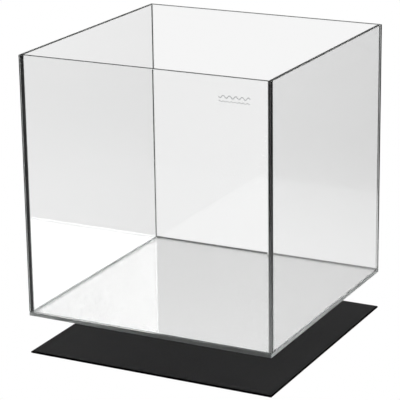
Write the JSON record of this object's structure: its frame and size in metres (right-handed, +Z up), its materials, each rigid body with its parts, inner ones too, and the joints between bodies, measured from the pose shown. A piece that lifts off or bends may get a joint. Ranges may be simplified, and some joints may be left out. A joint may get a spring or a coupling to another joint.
{
  "type": "glass aquarium tank",
  "caption": "Open-topped rimless cube aquarium of five bonded clear glass panes, held just above its square black foam levelling mat.",
  "frame": {"origin": "middle of the levelling mat's underside, on the surface that it lies on", "axes": "+Z up towards the open rim, front pane towards -Y, right pane towards +X"},
  "size_m": [0.35, 0.35, 0.403],
  "materials": {
    "low_iron_glass": "polished",
    "clear_silicone": "satin",
    "black_foam": "matte"
  },
  "bodies": {
    "tank": {"bottom_pane": "low_iron_glass", "front_pane": "low_iron_glass", "back_pane": "low_iron_glass", "left_pane": "low_iron_glass", "right_pane": "low_iron_glass", "bottom_front_seam": "clear_silicone", "bottom_back_seam": "clear_silicone", "bottom_left_seam": "clear_silicone", "bottom_right_seam": "clear_silicone", "front_left_seam": "clear_silicone", "front_right_seam": "clear_silicone", "back_left_seam": "clear_silicone", "back_right_seam": "clear_silicone"},
    "mat": {"levelling_mat": "black_foam"}
  },
  "joints": [
    {"name": "mat_lift", "type": "slide", "parent": "tank", "child": "mat", "axis": [0, 0, 1], "range_m": [0, 0.0499]}
  ]
}
